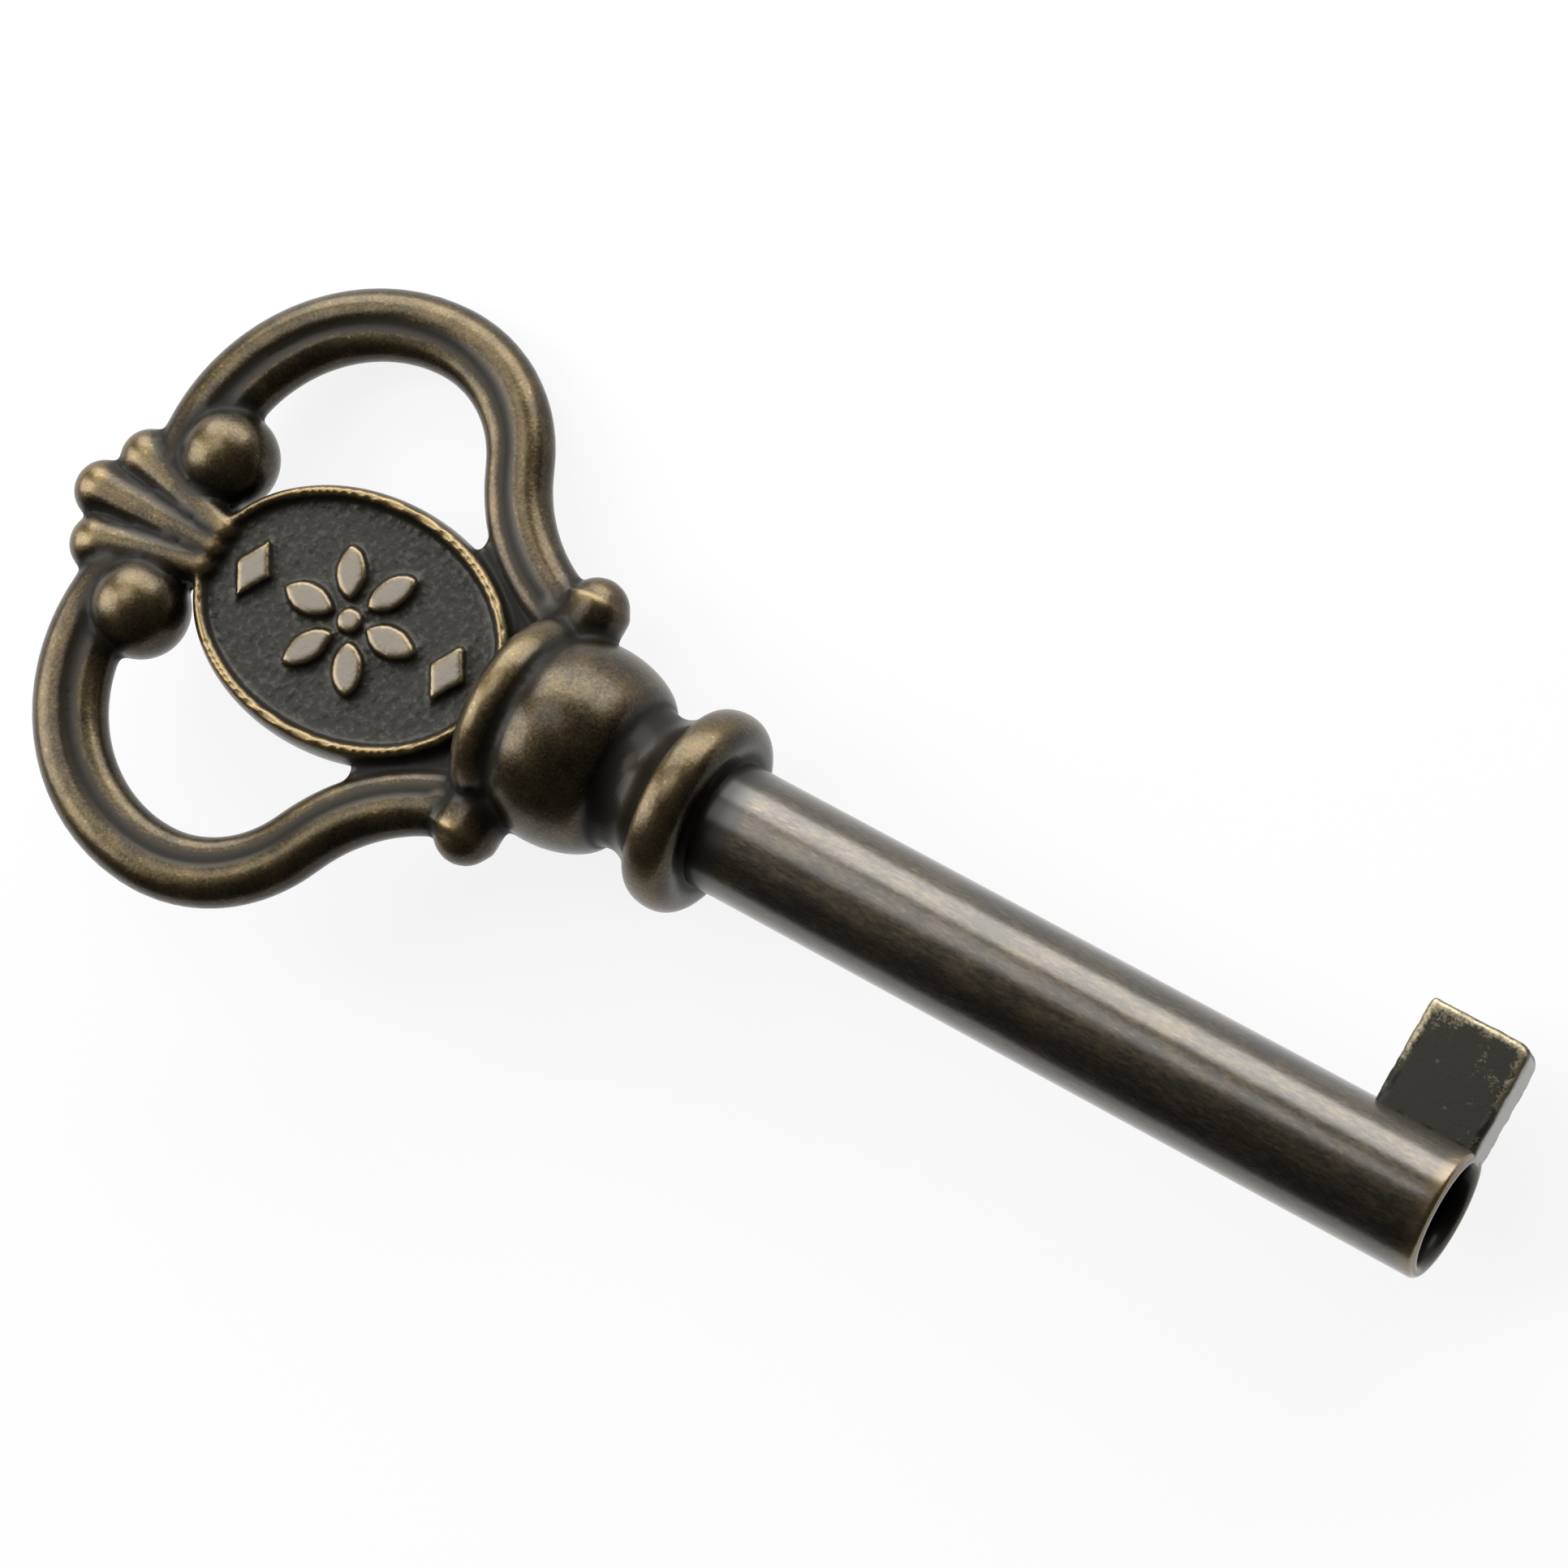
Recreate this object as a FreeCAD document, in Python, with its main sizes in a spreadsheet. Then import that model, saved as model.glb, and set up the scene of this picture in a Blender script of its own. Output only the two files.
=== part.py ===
import FreeCAD, Part

import math
import os

import Sketcher

# Antique furniture key, cast in one piece and bronzed.
# The key's own frame: +X runs along the stem to the tip, +Y is the bit's side, Z is across the bow.
# x = 0 is the shoulder, where the shank leaves the collar. Both faces of the bow are alike.

# Driving dimensions, in millimetres and degrees
SIZES = {
    # shank, bore and bit
    "shank_length": 36.65,
    "shank_radius": 3.05,
    "mouth_chamfer": 0.3,
    "bore_radius": 2.3,
    "bore_depth": 22,
    "bore_point_angle": 118,
    "mouth_bevel": 0.15,
    "bit_length": 5,
    "bit_height": 7.7,
    "bit_thickness": 2.4,
    "bit_tip_round": 0.8,
    "bit_back_round": 0.4,
    # turned stem: stretches from the shoulder back to the bow, and radii
    "shoulder_radius": 3.25,
    "collar_front_length": 2,
    "collar_radius": 4.9,
    "collar_back_length": 1.85,
    "cove_edge_radius": 3.9,
    "cove_length": 2.35,
    "cove_arc_radius": 1.45,
    "bulb_front_length": 2.5,
    "bulb_radius": 4.9,
    "bulb_back_length": 1.85,
    "valley_radius": 4.15,
    "ring_front_length": 1.05,
    "ring_radius": 4.8,
    "ring_back_length": 1.1,
    "ring_back_radius": 3.7,
    "stem_root_length": 1.1,
    # oval medallion
    "medallion_length": 16.8,
    "medallion_width": 12.4,
    "medallion_end_radius": 4.9,
    "medallion_seat": 0.1,
    "rim_width": 0.95,
    "rim_thickness": 2.6,
    "rim_bevel": 0.28,
    "ground_thickness": 1.4,
    # ornament on the medallion
    "ornament_thickness": 2.3,
    "petal_count": 6,
    "petal_start": 0.95,
    "petal_length": 2.75,
    "petal_arc_radius": 1.75,
    "rosette_eye_radius": 0.62,
    "lozenge_place": 5.55,
    "lozenge_length": 1.9,
    "lozenge_width": 3,
    # scrolled arms, from the ring round to the crest
    "arm_root_back": 0.55,
    "arm_root_height": 5,
    "arm_root_angle": 16.2,
    "arm_front_radius": 6.63,
    "arm_top_back": 12.4,
    "arm_top_height": 13.85,
    "arm_end_back": 8.41,
    "arm_end_height": 2.7,
    "arm_width": 3.45,
    "groove_share": 0.18,
    "groove_height_share": 0.6,
    # balls on the scroll ends
    "crest_ball_radius": 2.45,
    "crest_ball_forward": 1.41,
    "crest_ball_outward": 1.35,
    "foot_ball_radius": 1.55,
    "foot_ball_forward": 0.5,
    "foot_ball_outward": 0.85,
    # ribbed crest
    "rib_lobe_radius": 1.35,
    "rib_neck_radius": 1.2,
    "rib_tail_radius": 0.5,
    "middle_rib_reach": 6.43,
    "side_rib_reach": 5.2,
    "side_rib_spread": 2.24,
    "rib_tail_inset": 0.45,
    "rib_tail_spread": 0.85,
    "rib_tail_height": 1.05,
    "crest_web_thickness": 1.8,
}

# Places worked out from the driving dimensions; x_ names count from the shoulder
LAYOUT = {
    "x_tip": "Sizes.shank_length",
    "x_collar": "-Sizes.collar_front_length",
    "x_cove_front": "x_collar - Sizes.collar_back_length",
    "x_cove_back": "x_cove_front - Sizes.cove_length",
    "x_bulb": "x_cove_back - Sizes.bulb_front_length",
    "x_valley": "x_bulb - Sizes.bulb_back_length",
    "x_ring": "x_valley - Sizes.ring_front_length",
    "x_ring_back": "x_ring - Sizes.ring_back_length",
    "x_stem_root": "x_ring_back - Sizes.stem_root_length",
    "x_medallion": "x_ring_back + Sizes.medallion_seat - Sizes.medallion_length / 2",
    "x_medallion_back": "x_medallion - Sizes.medallion_length / 2",
    # the oval is four arcs, two round its ends and two along its sides
    "oval_end": "Sizes.medallion_length / 2 - Sizes.medallion_end_radius",
    "oval_bulge": "Sizes.medallion_width / 2 - Sizes.medallion_end_radius",
    "oval_side_radius": "Sizes.medallion_end_radius"
                        " + (oval_end ^ 2 + oval_bulge ^ 2) / (2 * oval_bulge)",
    "oval_spread": "oval_side_radius - Sizes.medallion_end_radius",
    "oval_side_centre": "oval_side_radius - Sizes.medallion_width / 2",
    "x_arm_root": "x_ring - Sizes.arm_root_back",
    "x_arm_top": "x_ring - Sizes.arm_top_back",
    "x_arm_end": "x_arm_top - Sizes.arm_end_back",
    # the back arc leaves the top level and ends in the crest
    "arm_drop": "Sizes.arm_top_height - Sizes.arm_end_height",
    "arm_back_radius": "(Sizes.arm_end_back ^ 2 + arm_drop ^ 2) / (2 * arm_drop)",
    "back_centre_y": "Sizes.arm_top_height - arm_back_radius",
    "arm_back_sweep": "90 - asin((Sizes.arm_end_height - back_centre_y) / arm_back_radius) / 1deg",
    # the front arc leaves the top level too and passes into the root arc, which bends the other way
    "root_lean": "90 - Sizes.arm_root_angle",
    "front_centre_y": "Sizes.arm_top_height - Sizes.arm_front_radius",
    "root_dx": "x_arm_root - x_arm_top",
    "root_dy": "Sizes.arm_root_height - front_centre_y",
    "root_along": "root_dx * cos(root_lean * 1deg) + root_dy * sin(root_lean * 1deg)",
    "arm_root_radius": "(Sizes.arm_front_radius ^ 2 - root_dx ^ 2 - root_dy ^ 2)"
                       " / (2 * (root_along - Sizes.arm_front_radius))",
    "root_centre_x": "x_arm_root + arm_root_radius * cos(root_lean * 1deg)",
    "root_centre_y": "Sizes.arm_root_height + arm_root_radius * sin(root_lean * 1deg)",
    "waist_lean": "asin((root_centre_y - front_centre_y) / (Sizes.arm_front_radius + arm_root_radius)) / 1deg",
    # the arm's section: where its two rolls meet, as shares of its half width
    "section_spare": "1 - Sizes.groove_share ^ 2 - Sizes.groove_height_share ^ 2",
    "outer_roll_share": "1 - section_spare / (2 * (1 + Sizes.groove_share))",
    "inner_roll_share": "1 - section_spare / (2 * (1 - Sizes.groove_share))",
    "x_crest_ball": "x_arm_end + Sizes.crest_ball_forward",
    "crest_ball_height": "Sizes.arm_end_height + Sizes.crest_ball_outward",
    "x_foot_ball": "x_ring + Sizes.foot_ball_forward",
    "foot_ball_height": "Sizes.arm_root_height + Sizes.foot_ball_outward",
    "x_rib_tail": "x_medallion_back + Sizes.rib_tail_inset",
    "x_middle_lobe": "x_medallion_back - Sizes.middle_rib_reach",
    "x_side_lobe": "x_medallion_back - Sizes.side_rib_reach",
    "middle_rib_run": "x_rib_tail - x_middle_lobe",
    "middle_rib_length": "sqrt(middle_rib_run ^ 2 + Sizes.rib_tail_height ^ 2)",
    "side_rib_inward": "Sizes.side_rib_spread - Sizes.rib_tail_spread",
    "side_rib_fan": "-atan(side_rib_inward / (x_rib_tail - x_side_lobe)) / 1deg",
    "side_rib_run": "sqrt((x_rib_tail - x_side_lobe) ^ 2 + side_rib_inward ^ 2)",
    "side_rib_length": "sqrt(side_rib_run ^ 2 + Sizes.rib_tail_height ^ 2)",
    "web_tail_spread": "Sizes.rib_tail_spread + Sizes.rib_tail_radius",
    "bore_point": "Sizes.bore_radius / tan(Sizes.bore_point_angle / 2 * 1deg)",
    # the key lies on its bulb and collar, rolled until one arm's outer roll touches down
    "outer_roll": "Sizes.arm_width / 2 * outer_roll_share",
    "roll_reach": "Sizes.arm_top_height + Sizes.arm_width / 2 - outer_roll",
    "rest_roll": "asin((Sizes.bulb_radius - outer_roll) / roll_reach) / 1deg",
    "rest_pitch": "asin((Sizes.bulb_radius - Sizes.collar_radius) / (x_collar - x_bulb)) / 1deg",
}

doc = FreeCAD.newDocument("AntiqueKey")


def fill_sheet(name, cells):
    # one row a value: its name in column A, the value or formula in column B
    sheet = doc.addObject("Spreadsheet::Sheet", name)
    for row, (alias, value) in enumerate(cells.items(), start=1):
        sheet.set(f"A{row}", alias)
        sheet.setAlias(f"B{row}", alias)
        sheet.set(f"B{row}", f"={value}" if isinstance(value, str) else str(value))
    return sheet


sizes = fill_sheet("Sizes", SIZES)
layout = fill_sheet("Layout", LAYOUT)
doc.recompute()

key = doc.addObject("PartDesign::Body", "Key")
key.Label = "key"


def number(expression):
    # an expression's value, in millimetres or degrees
    value = sizes.evalExpression(expression)
    return float(getattr(value, "Value", value))


def plane(role):
    for feature in key.Origin.OriginFeatures:
        if feature.Role == role:
            return feature
    raise ValueError(role)


def new_sketch(name, role, base=("0", "0", "0"), turn="0", about=FreeCAD.Vector(0, 1, 0)):
    # a sketch on one of the body's planes, moved and turned within that plane's own axes
    sketch = key.newObject("Sketcher::SketchObject", name)
    sketch.AttachmentSupport = [(plane(role), "")]
    sketch.MapMode = "FlatFace"
    sketch.AttachmentOffset = FreeCAD.Placement(FreeCAD.Vector(), FreeCAD.Rotation(about, 1))
    for axis, expression in zip("xyz", base):
        sketch.setExpression(f"AttachmentOffset.Base.{axis}", expression)
    sketch.setExpression("AttachmentOffset.Rotation.Angle", turn)
    return sketch


def pin(sketch, geometry, end, x, y):
    # ties a point to its place; a point on an axis is held by the axis itself
    for kind, axis, expression in (("DistanceX", -2, x), ("DistanceY", -1, y)):
        if expression == "0":
            sketch.addConstraint(Sketcher.Constraint("PointOnObject", geometry, end, axis))
        else:
            index = sketch.addConstraint(
                Sketcher.Constraint(kind, -1, 1, geometry, end, number(expression)))
            sketch.setExpression(f"Constraints[{index}]", expression)


def arc_centre(start, finish, turn, kind, value):
    if kind == "centre_x":
        gap = (start.x - value) ** 2 - (finish.x - value) ** 2 + start.y ** 2 - finish.y ** 2
        return FreeCAD.Vector(value, gap / (2 * (start.y - finish.y)), 0)
    half = (finish - start) / 2
    rise = math.sqrt(value ** 2 - half.Length ** 2)
    side = 1 if turn == "left" else -1
    normal = FreeCAD.Vector(-half.y, half.x, 0).normalize()
    return start + half + normal * (rise * side)


def outline(sketch, corners, closed=True):
    # Lines and arcs from corner to corner. A corner is (x, y, edge), and edge says how the outline
    # goes on: None is a line, and (turn, kind, size) an arc with that radius or centre.
    places = [FreeCAD.Vector(number(x), number(y), 0) for x, y, _ in corners]
    count = len(corners) if closed else len(corners) - 1
    edges = []
    for i in range(count):
        start = places[i]
        finish = places[(i + 1) % len(places)]
        rule = corners[i][2]
        if rule is None:
            edges.append((sketch.addGeometry(Part.LineSegment(start, finish)), 1, 2))
            continue
        turn, kind, size = rule
        centre = arc_centre(start, finish, turn, kind, number(size))
        circle = Part.Circle(centre, FreeCAD.Vector(0, 0, 1), (start - centre).Length)
        first, last = (start, finish) if turn == "left" else (finish, start)
        arc = Part.ArcOfCircle(circle, circle.parameter(first), circle.parameter(last))
        geometry = sketch.addGeometry(arc)
        edges.append((geometry, 1, 2) if turn == "left" else (geometry, 2, 1))
    for i in range(count):
        if closed or i + 1 < count:
            after = edges[(i + 1) % count]
            sketch.addConstraint(
                Sketcher.Constraint("Coincident", edges[i][0], edges[i][2], after[0], after[1]))
        pin(sketch, edges[i][0], edges[i][1], corners[i][0], corners[i][1])
    if not closed:
        pin(sketch, edges[-1][0], edges[-1][2], corners[-1][0], corners[-1][1])
    for i in range(count):
        rule = corners[i][2]
        if rule is None:
            continue
        if rule[1] == "radius":
            constraint = Sketcher.Constraint("Radius", edges[i][0], number(rule[2]))
        else:
            constraint = Sketcher.Constraint("DistanceX", -1, 1, edges[i][0], 3, number(rule[2]))
        index = sketch.addConstraint(constraint)
        sketch.setExpression(f"Constraints[{index}]", rule[2])


def revolve(name, sketch, axis="H_Axis", kind="PartDesign::Revolution"):
    feature = key.newObject(kind, name)
    feature.Profile = sketch
    feature.ReferenceAxis = (sketch, [axis])
    feature.Angle = 360
    doc.recompute()
    return feature


def pad(name, sketch, thickness):
    # a plate that stands equally proud of both faces
    feature = key.newObject("PartDesign::Pad", name)
    feature.Profile = sketch
    feature.Midplane = True
    feature.setExpression("Length", thickness)
    doc.recompute()
    return feature


def oval(sketch, inset):
    # the medallion's outline, drawn in from its edge by an inset
    end = f"(Sizes.medallion_end_radius - {inset})"
    side = f"(Layout.oval_side_radius - {inset})"
    along = f"(Layout.oval_end * (1 + {end} / Layout.oval_spread))"
    out = f"({end} * Layout.oval_side_centre / Layout.oval_spread)"
    round_end = ("left", "radius", end)
    round_side = ("left", "radius", side)
    outline(sketch, [
        (along, f"-{out}", round_end),
        (along, out, round_side),
        (f"-{along}", out, round_end),
        (f"-{along}", f"-{out}", round_side),
    ])


# Medallion: a raised rim round a sunk ground, with the ornament standing on the ground
def medallion():
    centre = ("Layout.x_medallion", "0", "0")
    rim = new_sketch("RimSketch", "XY_Plane", centre)
    oval(rim, "0")
    oval(rim, "Sizes.rim_width")
    rim_pad = pad("Rim", rim, "Sizes.rim_thickness")

    curved = [f"Edge{i}" for i, edge in enumerate(rim_pad.Shape.Edges, start=1)
              if not isinstance(edge.Curve, Part.Line)]
    rounding = key.newObject("PartDesign::Chamfer", "RimBevel")
    rounding.Base = (rim_pad, curved)
    rounding.setExpression("Size", "Sizes.rim_bevel")
    doc.recompute()

    ground = new_sketch("GroundSketch", "XY_Plane", centre)
    oval(ground, "Sizes.rim_width / 2")
    pad("Ground", ground, "Sizes.ground_thickness")


def ornament():
    # a rosette of pointed petals round an eye, between two lozenges
    centre = ("Layout.x_medallion", "0", "0")
    petal = new_sketch("PetalSketch", "XY_Plane", centre)
    arc = ("left", "radius", "Sizes.petal_arc_radius")
    outline(petal, [
        ("Sizes.petal_start", "0", arc),
        ("Sizes.petal_start + Sizes.petal_length", "0", arc),
    ])
    petal_pad = pad("Petal", petal, "Sizes.ornament_thickness")
    petals = key.newObject("PartDesign::PolarPattern", "Petals")
    petals.Originals = [petal_pad]
    petals.Axis = (petal, ["N_Axis"])
    petals.Angle = 360
    petals.setExpression("Occurrences", "Sizes.petal_count")
    key.Tip = petals
    doc.recompute()

    eye = new_sketch("EyeSketch", "XY_Plane", centre)
    circle = eye.addGeometry(Part.Circle(FreeCAD.Vector(), FreeCAD.Vector(0, 0, 1), 1))
    eye.addConstraint(Sketcher.Constraint("Coincident", circle, 3, -1, 1))
    index = eye.addConstraint(Sketcher.Constraint("Radius", circle, SIZES["rosette_eye_radius"]))
    eye.setExpression(f"Constraints[{index}]", "Sizes.rosette_eye_radius")
    pad("Eye", eye, "Sizes.ornament_thickness")

    for name, side in (("Front", ""), ("Back", "-")):
        middle = f"{side}Sizes.lozenge_place"
        lozenge = new_sketch(f"{name}LozengeSketch", "XY_Plane", centre)
        outline(lozenge, [
            (f"{middle} - Sizes.lozenge_length / 2", "0", None),
            (middle, "-Sizes.lozenge_width / 2", None),
            (f"{middle} + Sizes.lozenge_length / 2", "0", None),
            (middle, "Sizes.lozenge_width / 2", None),
        ])
        pad(f"{name}Lozenge", lozenge, "Sizes.ornament_thickness")


# Turned stem: shank, collar, cove, bulb and ring in one profile, as the pattern was turned
def stem():
    profile = new_sketch("StemSketch", "XY_Plane")
    outline(profile, [
        ("Layout.x_stem_root", "0", None),
        ("Layout.x_ring_back", "Sizes.ring_back_radius", ("right", "centre_x", "Layout.x_ring")),
        ("Layout.x_ring", "Sizes.ring_radius", ("right", "centre_x", "Layout.x_ring")),
        ("Layout.x_valley", "Sizes.valley_radius", ("right", "centre_x", "Layout.x_bulb")),
        ("Layout.x_bulb", "Sizes.bulb_radius", ("right", "centre_x", "Layout.x_bulb")),
        ("Layout.x_cove_back", "Sizes.cove_edge_radius", ("left", "radius", "Sizes.cove_arc_radius")),
        ("Layout.x_cove_front", "Sizes.cove_edge_radius", ("right", "centre_x", "Layout.x_collar")),
        ("Layout.x_collar", "Sizes.collar_radius", ("right", "centre_x", "Layout.x_collar")),
        ("0", "Sizes.shoulder_radius", None),
        ("0", "Sizes.shank_radius", None),
        ("Layout.x_tip - Sizes.mouth_chamfer", "Sizes.shank_radius", None),
        ("Layout.x_tip", "Sizes.shank_radius - Sizes.mouth_chamfer", None),
        ("Layout.x_tip", "0", None),
    ])
    revolve("Stem", profile)


# Arms: a thick outer roll and a thinner inner roll with a groove between, turned along three arcs
def arm_arc(name, centre, start, sweep, radius, outward):
    # The section is drawn square to the arc from the arc's centre. outward is "" where the loop lies
    # on the centre's side, and "-" where the arc bends the other way.
    section = new_sketch(name + "Section", "XZ_Plane", (centre[0], "0", f"-({centre[1]})"), start)
    half = "(Sizes.arm_width / 2)"
    groove = f"({radius} - {outward}{half} * Sizes.groove_share)"
    rise = f"{half} * Sizes.groove_height_share"
    turn = "right" if outward else "left"
    outer = (turn, "radius", f"{half} * Layout.outer_roll_share")
    inner = (turn, "radius", f"{half} * Layout.inner_roll_share")
    outline(section, [
        (groove, f"-{rise}", outer),
        (f"{radius} + {outward}{half}", "0", outer),
        (groove, rise, inner),
        (f"{radius} - {outward}{half}", "0", inner),
    ])
    feature = revolve(name, section, "V_Axis")
    feature.setExpression("Angle", sweep)
    doc.recompute()
    return feature


def arms():
    top = "Layout.x_arm_top"
    return [
        arm_arc("ArmBack", (top, "Layout.back_centre_y"), "90", "Layout.arm_back_sweep",
                "Layout.arm_back_radius", ""),
        arm_arc("ArmFront", (top, "Layout.front_centre_y"), "Layout.waist_lean", "90 - Layout.waist_lean",
                "Sizes.arm_front_radius", ""),
        arm_arc("ArmRoot", ("Layout.root_centre_x", "Layout.root_centre_y"), "180 + Layout.waist_lean",
                "Layout.root_lean - Layout.waist_lean", "Layout.arm_root_radius", "-"),
    ]


# Crest: three balls on the mid-plane, and from each a tapering rib that climbs over the rim on both faces
def rib(name, kind, side):
    # drawn from the ball's centre along the rib
    base = (f"Layout.x_{kind}_lobe", "0", f"-({side} * Sizes.side_rib_spread)")
    sketch = new_sketch(f"{name}Sketch", "XZ_Plane", base, f"{side} * Layout.side_rib_fan")
    length = f"Layout.{kind}_rib_length"
    along = f"Layout.{kind}_rib_run / {length}"
    climb = f"Sizes.rib_tail_height / {length}"

    def place(ahead, out):
        # a point measured along the rib's axis and square to it
        return (f"{ahead} * {along} - {out} * {climb}", f"{ahead} * {climb} + {out} * {along}")

    tail = "Sizes.rib_tail_radius"
    tip = place(f"({length} + {tail})", "0")
    outline(sketch, [
        ("0", "0", None),
        (*place("0", "Sizes.rib_neck_radius"), None),
        (*place(length, tail), ("right", "radius", tail)),
        (*tip, None),
    ])
    end = FreeCAD.Vector(number(tip[0]), number(tip[1]), 0)
    axis = sketch.addGeometry(Part.LineSegment(FreeCAD.Vector(), end), True)
    sketch.addConstraint(Sketcher.Constraint("Coincident", axis, 1, -1, 1))
    sketch.addConstraint(Sketcher.Constraint("Coincident", axis, 2, 3, 1))
    return revolve(name, sketch, "Axis0")


def crest():
    web = new_sketch("CrestWebSketch", "XY_Plane")
    outline(web, [
        ("Layout.x_side_lobe", "-Sizes.side_rib_spread", None),
        ("Layout.x_rib_tail", "-Layout.web_tail_spread", None),
        ("Layout.x_rib_tail", "Layout.web_tail_spread", None),
        ("Layout.x_side_lobe", "Sizes.side_rib_spread", None),
        ("Layout.x_middle_lobe", "0", None),
    ])
    pad("CrestWeb", web, "Sizes.crest_web_thickness")
    ribs = []
    for name, kind, side in (("Middle", "middle", 0), ("BitSide", "side", 1), ("PlainSide", "side", -1)):
        ball(f"{name}Lobe", f"Layout.x_{kind}_lobe", f"{side} * Sizes.side_rib_spread", "Sizes.rib_lobe_radius")
        ribs.append(rib(f"{name}Rib", kind, side))
    mirror("BackRibs", ribs, "XY_Plane")


def mirror(name, features, role):
    other = key.newObject("PartDesign::Mirrored", name)
    other.Originals = features
    other.MirrorPlane = (plane(role), [""])
    key.Tip = other
    doc.recompute()


# Bit: a plain blade flush with the shank's end
def bit():
    blade = new_sketch("BitSketch", "XY_Plane")
    root = "Sizes.shank_radius / 2"
    back = "Layout.x_tip - Sizes.bit_length"
    outline(blade, [
        ("Layout.x_tip", root, None),
        ("Layout.x_tip", "Sizes.bit_height - Sizes.bit_tip_round", ("left", "radius", "Sizes.bit_tip_round")),
        ("Layout.x_tip - Sizes.bit_tip_round", "Sizes.bit_height", None),
        (f"{back} + Sizes.bit_back_round", "Sizes.bit_height", ("left", "radius", "Sizes.bit_back_round")),
        (back, "Sizes.bit_height - Sizes.bit_back_round", None),
        (back, root, None),
    ])
    pad("Bit", blade, "Sizes.bit_thickness")


# Bore: drilled up the shank from its mouth, with the drill's cone at the bottom
def bore():
    hollow = new_sketch("BoreSketch", "XY_Plane")
    bottom = "Layout.x_tip - Sizes.bore_depth"
    outline(hollow, [
        ("Layout.x_tip", "0", None),
        ("Layout.x_tip", "Sizes.bore_radius + Sizes.mouth_bevel", None),
        ("Layout.x_tip - Sizes.mouth_bevel", "Sizes.bore_radius", None),
        (bottom, "Sizes.bore_radius", None),
        (f"{bottom} - Layout.bore_point", "0", None),
    ])
    solid = key.Shape.Volume
    revolve("Bore", hollow, kind="PartDesign::Groove")
    if key.Shape.Volume > solid - number("pi * Sizes.bore_radius ^ 2 * Sizes.bore_depth") / 2:
        raise ValueError("the bore cuts nothing")


def ball(name, x, y, radius):
    sketch = new_sketch(f"{name}Sketch", "XY_Plane", (x, y, "0"))
    half = number(radius)
    upper = FreeCAD.Vector(0, half, 0)
    circle = Part.Circle(FreeCAD.Vector(), FreeCAD.Vector(0, 0, 1), half)
    arc = sketch.addGeometry(Part.ArcOfCircle(circle, -math.pi / 2, math.pi / 2))
    line = sketch.addGeometry(Part.LineSegment(upper, -upper))
    sketch.addConstraint(Sketcher.Constraint("Coincident", arc, 3, -1, 1))
    sketch.addConstraint(Sketcher.Constraint("Coincident", arc, 2, line, 1))
    sketch.addConstraint(Sketcher.Constraint("Coincident", arc, 1, line, 2))
    sketch.addConstraint(Sketcher.Constraint("PointOnObject", arc, 2, -2))
    sketch.addConstraint(Sketcher.Constraint("PointOnObject", arc, 1, -2))
    index = sketch.addConstraint(Sketcher.Constraint("Radius", arc, half))
    sketch.setExpression(f"Constraints[{index}]", radius)
    return revolve(name, sketch, "V_Axis")


def bow():
    crest()
    doubled = arms()
    doubled.append(ball("CrestBall", "Layout.x_crest_ball", "Layout.crest_ball_height",
                        "Sizes.crest_ball_radius"))
    doubled.append(ball("FootBall", "Layout.x_foot_ball", "Layout.foot_ball_height",
                        "Sizes.foot_ball_radius"))
    mirror("OtherArm", doubled, "XZ_Plane")


# Rest: the key can't stand, so it lies as it comes to rest, rolled towards the bit, its heavier side
def lay_down():
    roll = FreeCAD.Rotation(FreeCAD.Vector(1, 0, 0), -number("Layout.rest_roll"))
    pitch = FreeCAD.Rotation(FreeCAD.Vector(0, 1, 0), number("Layout.rest_pitch"))
    turned = pitch.multiply(roll)
    key.Placement = FreeCAD.Placement(FreeCAD.Vector(), turned)
    box = key.Shape.optimalBoundingBox(False, False)
    # the origin is under the middle of the box that the key fills
    under = FreeCAD.Vector(box.Center.x, box.Center.y, box.ZMin)
    key.Placement = FreeCAD.Placement(-under, turned)


def check():
    failed = [item.Name for item in doc.Objects if "Invalid" in item.State or "Error" in item.State]
    if failed:
        raise ValueError(f"failed: {failed}")
    if key.Shape.isNull() or not key.Shape.isValid() or len(key.Shape.Solids) != 1:
        raise ValueError("the key is not one valid solid")


medallion()
ornament()
stem()
bow()
bit()
bore()
doc.recompute()
lay_down()
check()

os.makedirs("parts", exist_ok=True)
key.Shape.exportStep(f"parts/{key.Label}.step")

box = key.Shape.optimalBoundingBox(False, False)
print(f"{key.Label}: {box.XLength:.2f} x {box.YLength:.2f} x {box.ZLength:.2f} mm, "
      f"volume {key.Shape.Volume:.1f} mm3, faces {len(key.Shape.Faces)}")
print(f"placed at {key.Placement.Base}, rolled {number('Layout.rest_roll'):.3f} degrees")
print(f"centre of mass {key.Shape.CenterOfGravity}")
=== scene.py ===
import math

import bmesh
import bpy
import numpy as np
from mathutils import Matrix, Vector, noise


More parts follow.
